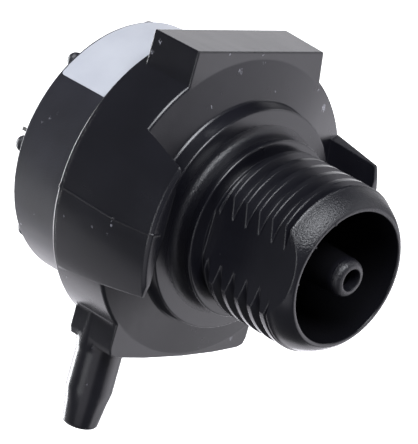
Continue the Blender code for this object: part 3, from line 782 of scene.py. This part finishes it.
def black_moulding(name, deep, pale, gloss, grain, specks, marks, zoned=False):
    """Black plastic: mottled colour, flow marks, a spark-eroded grain, pale specks, and pale spots
    at given places: rub marks, and on the housing one painted glint.

    On the housing, nose, nipple's tip and neck are coarser, and the bore is smoother, with painted
    shade: a darker colour and a weaker reflection.
    """
    made, nodes, links, shader, coords = new_finish(name)
    cloud = noise(nodes, links, coords, 170.0, 4.0)
    flow = noise(nodes, links, coords, 900.0, 3.0, stretch=(1.0, 0.25, 1.0))
    fine = noise(nodes, links, coords, 8000.0, 2.0, 0.6)
    base = ramp(nodes, links, cloud, ((0.35, deep), (0.7, pale)))

    dust = nodes.new("ShaderNodeTexVoronoi")
    dust.inputs["Scale"].default_value = 420.0
    dust.inputs["Randomness"].default_value = 1.0
    links.new(coords, dust.inputs["Vector"])
    spot = between(nodes, links, dust.outputs["Distance"], 1.0, 0.0, 0.035, 0.05)
    picked = between(nodes, links, dust.outputs["Color"], 0.0, specks, 0.55, 0.6)
    # Rub marks, and on the housing one painted glint, mixed into the colour as pale spots.
    rubs_and_glint = product(nodes, links, rubbed(nodes, links, coords, marks), between(
        nodes, links, fine, 0.3, 1.0, 0.35, 0.6
    ))
    speck = greatest(nodes, links, product(nodes, links, spot, picked), rubs_and_glint)
    rough = between(nodes, links, flow, gloss - 0.04, gloss + 0.05)
    depth = grain
    if zoned:
        reach, back, up = reach_and_depth(nodes, links, coords)
        topside = between(nodes, links, up, 0.0, 1.0, 1.5 * MM, 3.0 * MM)
        nose = ring_zone(nodes, links, reach, back, 5.25, 6.5, 14.0, 11.6)
        coarse = greatest(
            nodes, links,
            product(nodes, links, nose, topside),
            ring_zone(nodes, links, reach, back, 0.0, 1.6, 14.0, 12.75),
            ring_zone(nodes, links, reach, back, 6.8, 7.5, 3.3, 2.3),
        )
        inside = greatest(
            nodes, links,
            ring_zone(nodes, links, reach, back, 1.55, 5.1, 13.6, 3.3),
            ring_zone(nodes, links, reach, back, 0.0, 1.9, 12.55, 3.3),
        )
        coarse_rough = between(nodes, links, coarse, 0.0, COARSE_ROUGHNESS)
        rough = greatest(nodes, links, rough, coarse_rough)
        smooth = between(nodes, links, inside, 1.0, 0.3)
        rough = product(nodes, links, rough, smooth)
        depth = product(nodes, links, between(nodes, links, coarse, grain, 1.0), smooth)
        # Painted shade: inside the bore the colour is made darker and the specular level lower
        # than elsewhere.
        base = mixed(nodes, links, inside, base, BORE_PAINTED_SHADE)
        links.new(
            between(nodes, links, inside, 0.5, 0.22), shader.inputs["Specular IOR Level"]
        )
    links.new(mixed(nodes, links, speck, base, RUB_AND_GLINT_GREY), shader.inputs["Base Color"])
    links.new(rough, shader.inputs["Roughness"])
    edge = nodes.new("ShaderNodeBevel")
    edge.samples = 6
    edge.inputs["Radius"].default_value = EDGE_ROUND
    waves = bumped(nodes, links, cloud, 0.00004, 0.3, edge.outputs["Normal"])
    drift = bumped(nodes, links, flow, 0.000006, 0.5, waves)
    links.new(bumped(nodes, links, fine, 0.00005, depth, drift), shader.inputs["Normal"])
    shader.inputs["IOR"].default_value = PLASTIC_IOR
    return made


print("black moulding ready")

# %% The housing's finish, with its rub marks, and a painted glint on the hose stub, where the photograph shows them
HOUSING_RUBS_AND_GLINT = (
    (6.66, -0.12, 9.37, 0.12), (-2.5, -0.12, 10.85, 0.26), (-2.28, -0.12, 10.5, 0.14),
    (-0.41, -0.12, 12.1, 0.1), (-0.16, -0.12, 11.52, 0.12), (7.79, -0.32, 7.99, 0.28),
    (-5.03, -0.75, 8.36, 0.1), (2.55, -0.12, -10.53, 0.16), (5.0, -0.12, -10.85, 0.2),
    (1.52, -0.12, -11.29, 0.14), (-2.89, -0.12, -9.29, 0.12), (-4.36, -0.12, -9.37, 0.1),
    (-12.0, -0.48, -1.45, 0.07), (-12.0, 1.12, -1.58, 0.06), (-12.08, -0.59, -0.39, 0.09),
    (-9.89, 4.24, -6.95, 0.12), (-11.93, 4.12, -1.98, 0.1), (-7.25, 3.8, 11.64, 0.16),
    # The last spot below, on the hose stub, is a painted glint of a small nick, not a rub.
    (-7.25, 4.3, 10.68, 0.16), (-7.6, 1.5, -14.7, 0.16),
)
housing_black = black_moulding(
    "satin_black_moulding", (0.0045, 0.0045, 0.0068), (0.0075, 0.0075, 0.0108), 0.25, 0.03, 0.6,
    HOUSING_RUBS_AND_GLINT, True,
)
print("finish made:", housing_black.name, "with", len(HOUSING_RUBS_AND_GLINT), "marks")

# %% [markdown]
# ## Making the housing
# The turned body is the blank. The groove and the flats are cut while it is still round, then
# lugs, grips, stub and parting lines are joined on, and the rear hollow and the stub's bore are
# cut through all of them. The grains of flash come last, so that nothing cuts them.

# %% The front housing
housing_form = carved(
    turned(housing_outline(), 192),
    [
        (thread_groove(), "DIFFERENCE"),
        (port_flat(-1.0), "DIFFERENCE"),
        (port_flat(1.0), "DIFFERENCE"),
        (upper_lug(), "UNION"),
        (lower_lug(), "UNION"),
        (root_cove(LOWER_LEFT, COVE), "UNION"),
        (root_cove(LOWER_RIGHT, COVE), "UNION"),
        (grip(LEFT_GRIP, False), "UNION"),
        (grip(RIGHT_GRIP, True), "UNION"),
        (hose_stub(), "UNION"),
        (parting_line(LEFT_GRIP, False), "UNION"),
        (parting_line(RIGHT_GRIP, True), "UNION"),
        (rear_hollow(), "DIFFERENCE"),
        (stub_bore(), "DIFFERENCE"),
        *((grain_of_flash(*place), "UNION") for place in FLASH),
    ],
)
piece(housing_form, "housing", ["front_housing"], housing_black)

# %% [markdown]
# ## The rear drum
# The electronics sit in a drum pushed into the socket behind the disc. Its rim is held with eight
# small stakes whose heads were melted to domes, and a ledge inside carries the cover.

# %% The drum and its stakes
DRUM = 10.3
DRUM_FRONT = -4.4
DRUM_REAR = -11.83
DRUM_BORE = 8.4
COVER_WELL = 8.95
COVER_LEDGE = -10.43
CLAMP_LEDGE = 7.0
STAKES = 8
STAKE_CIRCLE = 9.5
STAKE_HEAD = 0.66
FIRST_STAKE = math.radians(42.7)


def drum_body():
    """A ring with a step inside for the board and a ledge behind for the cover."""
    return turned(
        [
            (DRUM_BORE, DRUM_FRONT),
            *bow((DRUM - 0.2, DRUM_FRONT - 0.2), 0.2, 90, 0, 3),
            *bow((DRUM - 0.18, DRUM_REAR + 0.18), 0.18, 0, -90, 3),
            *bow((COVER_WELL + 0.1, DRUM_REAR + 0.1), 0.1, 270, 180, 2),
            (COVER_WELL, COVER_LEDGE),
            (DRUM_BORE, COVER_LEDGE),
            (DRUM_BORE, -6.7),
            (CLAMP_LEDGE, -6.7),
            (CLAMP_LEDGE, -5.8),
            (DRUM_BORE, -5.8),
        ],
        closed=True,
    )


def stake(index):
    """A stake on the drum's rear rim with its melted, slightly spread head."""
    form = turned(
        [
            (0.0, 0.4), (0.48, 0.4), (0.5, -0.2), (STAKE_HEAD, -0.36),
            *bow((0.0, -0.36), STAKE_HEAD, -12, -90, 5),
        ],
        24,
    )
    angle = FIRST_STAKE + FULL_TURN * index / STAKES
    place = (STAKE_CIRCLE * math.cos(angle), -DRUM_REAR, STAKE_CIRCLE * math.sin(angle))
    bmesh.ops.translate(form, verts=form.verts, vec=place)
    return form


drum_black = black_moulding(
    "black_drum_moulding", (0.01, 0.01, 0.014), (0.024, 0.024, 0.032), 0.4, 0.24, 1.0,
    ((-9.76, 10.08, 3.28, 0.12), (-9.92, 10.6, 2.76, 0.1), (-9.55, 9.62, 3.86, 0.08),
     (-9.44, 9.44, -4.13, 0.1)),
)
piece(
    carved(drum_body(), [(stake(index), "UNION") for index in range(STAKES)]),
    "drum", ["rear_drum"], drum_black,
)

# %% [markdown]
# ## The label
# A bare white film goes round the top of the drum over rather more than a quarter of its turn.
# It is cut flat with rounded corners and then rolled onto the drum, which is done here too.

# %% The film, cut flat and rolled on
LABEL_START = math.radians(37.0)
LABEL_SPAN = math.radians(106.0)
LABEL_RADIUS = DRUM + 0.035
LABEL_WIDTH = 6.1
LABEL_MIDDLE = 8.52
LABEL_CORNER = 0.25
LABEL_CUTS = 64
FILM = 0.05


def label_film():
    """The flat film, cut across into narrow strips so that it rolls smoothly."""
    length = LABEL_RADIUS * LABEL_SPAN
    form = bmesh.new()
    bmesh.ops.create_grid(form, x_segments=1, y_segments=1, size=0.5)
    bmesh.ops.scale(form, verts=form.verts, vec=(length, LABEL_WIDTH, 1.0))
    bmesh.ops.bevel(
        form, geom=form.verts, offset=LABEL_CORNER, offset_type="OFFSET", segments=4,
        profile=0.5, affect="VERTICES", material=-1,
    )
    for index in range(1, LABEL_CUTS):
        bmesh.ops.bisect_plane(
            form, geom=[*form.verts, *form.edges, *form.faces], dist=SAME_CUT,
            plane_co=(length * (index / LABEL_CUTS - 0.5), 0.0, 0.0), plane_no=(1, 0, 0),
        )
    bmesh.ops.recalc_face_normals(form, faces=form.faces)
    bmesh.ops.solidify(form, geom=form.faces, thickness=FILM)
    for corner in form.verts:
        angle = LABEL_START + LABEL_SPAN / 2.0 - corner.co.x / LABEL_RADIUS
        radius = LABEL_RADIUS + corner.co.z
        along = LABEL_MIDDLE + corner.co.y
        corner.co = (radius * math.cos(angle), along, radius * math.sin(angle))
    bmesh.ops.recalc_face_normals(form, faces=form.faces)
    return form


def film_finish():
    """Matt white film with a slight cloudiness."""
    made, nodes, links, shader, coords = new_finish("white_label_film")
    tone = noise(nodes, links, coords, 240.0, 3.0)
    fibre = noise(nodes, links, coords, 5000.0, 2.0)
    white = ramp(nodes, links, tone, ((0.3, (0.42, 0.435, 0.48)), (0.75, (0.5, 0.515, 0.555))))
    links.new(white, shader.inputs["Base Color"])
    links.new(between(nodes, links, tone, 0.38, 0.5), shader.inputs["Roughness"])
    links.new(bumped(nodes, links, fibre, 0.000002, 0.5), shader.inputs["Normal"])
    return made


piece(label_film(), "label_film", ["label"], film_finish())

# %% [markdown]
# ## The rear cover and the blades
# A flat cover closes the drum, with a slot for each blade terminal. The blades are punched from
# tinned brass strip, with a pointed end, a locking hole and edges dulled by the punch.

# %% Places of the blades
BLADE_TURN = math.radians(-21.6)
BLADE_PLACES = ((-3.78, -0.85), (3.4, 3.1), (3.4, -3.9))
COVER = 8.82
COVER_FRONT = -10.73
COVER_REAR = -11.53
SLOT_HALF = 1.55
SLOT_HALF_HEIGHT = 0.28


def at_blade(form, place):
    """Turns a form drawn round the port's axis to a blade's place on the cover."""
    turn = Matrix.Rotation(BLADE_TURN, 4, (0, -1, 0))
    move = Matrix.Translation((place[0], 0.0, place[1]))
    bmesh.ops.transform(form, matrix=move @ turn, verts=form.verts)
    return form


def cover_disc():
    """A disc with a chamfer in front and a round behind."""
    return turned(
        [
            (0.0, COVER_FRONT), (COVER - 0.1, COVER_FRONT), (COVER, COVER_FRONT - 0.1),
            *bow((COVER - 0.15, COVER_REAR + 0.15), 0.15, 0, -90, 3), (0.0, COVER_REAR),
        ],
        steps=128,
    )


def blade_slot():
    """The cutter of a slot, longer than the cover is thick."""
    return block((-SLOT_HALF, 9.0, -SLOT_HALF_HEIGHT), (SLOT_HALF, 13.0, SLOT_HALF_HEIGHT))


cover_black = black_moulding(
    "black_cover_moulding", (0.012, 0.012, 0.014), (0.02, 0.02, 0.024), 0.45, 0.3, 0.6,
    ((2.0, -COVER_REAR, -1.0, 0.15), (-5.0, -COVER_REAR, 3.0, 0.12)),
)
slots = [(at_blade(blade_slot(), place), "DIFFERENCE") for place in BLADE_PLACES]
piece(
    carved(cover_disc(), slots), "cover", ["rear_cover"], cover_black,
)


# %% The blades
BLADE_END = -17.87
SHOULDER = -8.1
TAIL_END = -6.75
BLADE_HALF = 1.4
TAIL_HALF = 0.6
BLADE_THICKNESS = 0.3
LOCK_HOLE = 0.55
LOCK_HOLE_BACK = 15.58
PUNCHED_ROUND = 0.035


def blade():
    """A blade terminal drawn on the port's axis, from its point to its tail in the board."""
    half = [
        (0.72, BLADE_END), (0.78, BLADE_END + 0.06), (BLADE_HALF, BLADE_END + 0.8),
        (BLADE_HALF, SHOULDER), (TAIL_HALF, SHOULDER), (TAIL_HALF, TAIL_END),
    ]
    outline = half + [(-x, forward) for x, forward in reversed(half)]
    under = -BLADE_THICKNESS / 2.0
    form = bmesh.new()
    face = form.faces.new([form.verts.new((x, -forward, under)) for x, forward in outline])
    grown = bmesh.ops.extrude_face_region(form, geom=[face])
    lifted = [item for item in grown["geom"] if isinstance(item, bmesh.types.BMVert)]
    bmesh.ops.translate(form, verts=lifted, vec=(0.0, 0.0, BLADE_THICKNESS))
    bmesh.ops.recalc_face_normals(form, faces=form.faces)
    hole = bmesh.new()
    bmesh.ops.create_cone(
        hole, cap_ends=True, segments=32, radius1=LOCK_HOLE, radius2=LOCK_HOLE, depth=2.0
    )
    bmesh.ops.translate(hole, verts=hole.verts, vec=(0.0, LOCK_HOLE_BACK, 0.0))
    punched = carved(form, [(hole, "DIFFERENCE")])
    return soften(punched, PUNCHED_ROUND, sharper_than=50.0, segments=2)


def tinned_finish():
    """Tin plate with the fine drawn marks of the strip along the blade."""
    made, nodes, links, shader, coords = new_finish("tinned_brass")
    tone = noise(nodes, links, coords, 500.0, 4.0)
    drawn = noise(nodes, links, coords, 2600.0, 3.0, stretch=(1.0, 0.12, 1.0))
    tin = ramp(nodes, links, tone, ((0.35, (0.62, 0.61, 0.57)), (0.7, (0.74, 0.73, 0.7))))
    links.new(tin, shader.inputs["Base Color"])
    shader.inputs["Metallic"].default_value = 1.0
    links.new(between(nodes, links, drawn, 0.22, 0.42), shader.inputs["Roughness"])
    links.new(bumped(nodes, links, drawn, 0.000004, 0.4), shader.inputs["Normal"])
    return made


tin = tinned_finish()
for index, place in enumerate(BLADE_PLACES):
    piece(
        at_blade(blade(), place), f"blade_{index + 1}", [f"terminal_{index + 1}"],
        tin,
    )

# %% [markdown]
# ## Pieces inside
# Filter, seal, ceramic cell, clamp, gasket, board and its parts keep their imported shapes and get
# the finishes of such parts, because they are seen only when the drum is taken off.


# %% A plain finish with a little life in it
def inner_finish(name, low, high, rough, metal=0.0, scale=900.0, depth=0.000004):
    """A finish that wanders between two colours, with a fine surface of some depth in metres."""
    made, nodes, links, shader, coords = new_finish(name)
    tone = noise(nodes, links, coords, scale, 3.0)
    fine = noise(nodes, links, coords, scale * 6.0, 2.0)
    links.new(ramp(nodes, links, tone, ((0.3, low), (0.7, high))), shader.inputs["Base Color"])
    links.new(between(nodes, links, tone, rough - 0.06, rough + 0.06), shader.inputs["Roughness"])
    links.new(bumped(nodes, links, fine, depth, 0.6), shader.inputs["Normal"])
    shader.inputs["Metallic"].default_value = metal
    return made


def dress(finish, *names):
    """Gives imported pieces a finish."""
    for name in names:
        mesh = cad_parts[name].data
        mesh.materials.clear()
        mesh.materials.append(finish)
    print(finish.name, "on", ", ".join(names))


# %% Dressing the pieces inside
dress(
    inner_finish(
        "sintered_bronze", (0.3, 0.2, 0.1), (0.55, 0.4, 0.22), 0.55, 0.9, 5000.0, 0.00003
    ),
    "port_filter",
)
dress(inner_finish("seal_rubber", (0.012, 0.012, 0.012), (0.03, 0.03, 0.03), 0.62), "cell_seal")
dress(
    inner_finish("gasket_rubber", (0.02, 0.02, 0.022), (0.05, 0.05, 0.055), 0.75), "body_gasket"
)
dress(inner_finish("fired_ceramic", (0.8, 0.79, 0.75), (0.88, 0.87, 0.84), 0.35), "pressure_cell")
dress(inner_finish("natural_moulding", (0.66, 0.64, 0.56), (0.76, 0.74, 0.68), 0.48), "cell_clamp")
dress(
    inner_finish("green_laminate", (0.02, 0.13, 0.05), (0.04, 0.2, 0.09), 0.35, 0.0, 600.0),
    "circuit_board",
)
dress(
    inner_finish("chip_epoxy", (0.014, 0.014, 0.016), (0.03, 0.03, 0.033), 0.5, 0.0, 3000.0),
    "amplifier_chip", "regulator_chip",
)
dress(
    inner_finish("capacitor_ceramic", (0.42, 0.28, 0.16), (0.58, 0.42, 0.27), 0.4, 0.0, 1500.0),
    "capacitor_1", "capacitor_2", "capacitor_3",
)
dress(
    inner_finish("resistor_glaze", (0.02, 0.02, 0.03), (0.06, 0.06, 0.08), 0.3, 0.0, 1500.0),
    "resistor_1", "resistor_2", "resistor_3", "resistor_4",
)
dress(
    inner_finish("tinned_pin", (0.6, 0.6, 0.62), (0.74, 0.74, 0.76), 0.28, 1.0, 2000.0),
    "cell_pin_1", "cell_pin_2", "cell_pin_3", "cell_pin_4",
)

# %% [markdown]
# ## Floor and light
# The photograph has a white ground with no shadow, as on a light table, so the floor glows, lies
# well below the part and throws nothing back at it. It turns up into a wall far away, which is
# why it is white from every side. Black plastic shows its form by what it mirrors. Two screens
# behind on the right whiten the tops and the rim, cards in front on the right grey the faces, and
# cards below light the undersides. Strips behind and at the left stand where only the fine rounds
# of the edges mirror them, and draw the thin bright lines. The key box above on the left gives
# the nose and the crests their sheen. What none of them reaches stays black, as in the photograph.


# %% The floor, which turns up into a wall far away
FLOOR_HEIGHT = -0.12
WALL_REACH = 2.0
WALL_TOP = 2.0
CORNER = 0.4


def pale_floor():
    """The floor in metres, a flat middle, a round corner and a wall, spun about the vertical."""
    form = bmesh.new()
    corner = bow((WALL_REACH - CORNER, FLOOR_HEIGHT + CORNER), CORNER, -90, 0, 8)
    sweep = [(0.0, FLOOR_HEIGHT), *corner, (WALL_REACH, WALL_TOP)]
    points = [form.verts.new((radius, 0.0, height)) for radius, height in sweep]
    lines = [form.edges.new(pair) for pair in zip(points, points[1:])]
    bmesh.ops.spin(
        form, geom=points + lines, cent=(0, 0, 0), axis=(0, 0, 1),
        angle=FULL_TURN, steps=64, use_merge=True, use_duplicate=False,
    )
    bmesh.ops.remove_doubles(form, verts=form.verts, dist=0.00001)
    bmesh.ops.recalc_face_normals(form, faces=form.faces)
    mesh = bpy.data.meshes.new("floor")
    form.to_mesh(mesh)
    form.free()
    made = bpy.data.objects.new("floor", mesh)
    bpy.context.scene.collection.objects.link(made)
    paper, nodes, links, shader, coords = new_finish("pale_paper")
    tone = noise(nodes, links, coords, 30.0, 2.0)
    white = ramp(nodes, links, tone, ((0.3, (0.88, 0.88, 0.88)), (0.7, (0.9, 0.9, 0.9))))
    links.new(white, shader.inputs["Base Color"])
    shader.inputs["Roughness"].default_value = 0.9
    shader.inputs["Emission Color"].default_value = (1.0, 1.0, 1.0, 1.0)
    shader.inputs["Emission Strength"].default_value = 1.0
    mesh.materials.append(paper)
    made.visible_glossy = False
    made.visible_diffuse = False
    made.visible_shadow = False
    print("floor:", 2 * WALL_REACH, "m wide, at", FLOOR_HEIGHT, "m")


pale_floor()


# %% The lights
WHITE_COOL = (0.95, 0.97, 1.0)
WHITE_SKY = (0.93, 0.95, 1.0)
WHITE_VIOLET = (0.95, 0.93, 1.0)
WHITE_PLAIN = (0.97, 0.96, 1.0)


def soft_box(name, direction, distance, size, brightness, tint, roll=0.0):
    """A flat soft light that faces the part, turned by roll degrees about its own middle."""
    lamp = bpy.data.lights.new(name, "AREA")
    lamp.shape = "RECTANGLE"
    lamp.size, lamp.size_y = size
    lamp.energy = brightness * math.pi * size[0] * size[1]
    lamp.color = tint
    made = bpy.data.objects.new(name, lamp)
    made.location = Vector(direction).normalized() * distance
    turn = Vector(direction).to_track_quat("Z", "Y").to_matrix()
    made.rotation_euler = (turn @ Matrix.Rotation(math.radians(roll), 3, "Z")).to_euler()
    made.visible_camera = False
    bpy.context.scene.collection.objects.link(made)
    print(name, "energy:", round(lamp.energy, 3))


# Name, direction from the part, distance and size in metres, brightness, tint and roll.
LIGHTS = (
    ("rear_screen", (0.73, 0.62, 0.26), 0.66, (0.6, 0.3), 1.15, WHITE_PLAIN),
    ("back_screen", (0.5, 0.82, -0.33), 0.5, (0.7, 0.4), 1.6, WHITE_PLAIN),
    ("rim_strip", (-0.1, 0.97, -0.22), 0.4, (0.1, 0.3), 16.0, WHITE_COOL),
    ("key_box", (-0.4, -0.45, 0.8), 0.5, (0.35, 0.25), 13.5, WHITE_SKY),
    ("left_strip", (-0.98, -0.04, -0.1), 0.4, (0.16, 0.26), 4.5, WHITE_COOL),
    ("face_card", (0.8, -0.62, -0.1), 0.3, (0.44, 0.34), 1.2, WHITE_VIOLET, 30.0),
    ("side_card", (0.85, -0.35, -0.45), 0.3, (0.3, 0.3), 0.7, WHITE_VIOLET),
    ("edge_card", (0.75, -0.25, 0.6), 0.4, (0.12, 0.12), 3.0, (0.97, 0.97, 1.0)),
    ("under_card", (0.5, 0.6, -0.62), 0.25, (0.3, 0.3), 1.2, WHITE_VIOLET),
    ("ground_glow", (-0.1, 0.55, -0.8), 0.3, (0.35, 0.3), 0.45, WHITE_VIOLET),
    ("low_card", (-0.73, -0.45, -0.5), 0.3, (0.2, 0.2), 0.7, WHITE_VIOLET),
)
for light in LIGHTS:
    soft_box(*light)

# %% The air of the studio
AIR_COLOUR = (0.92, 0.94, 1.0, 1.0)
AIR_BRIGHTNESS = 0.15

world = bpy.data.worlds.new("studio_air")
world.use_nodes = True
air = world.node_tree.nodes["Background"]
air.inputs["Color"].default_value = AIR_COLOUR
air.inputs["Strength"].default_value = AIR_BRIGHTNESS
bpy.context.scene.world = world
bpy.context.scene.view_settings.view_transform = "Standard"
print("lights:", len(bpy.data.lights), "and the air at", AIR_BRIGHTNESS)
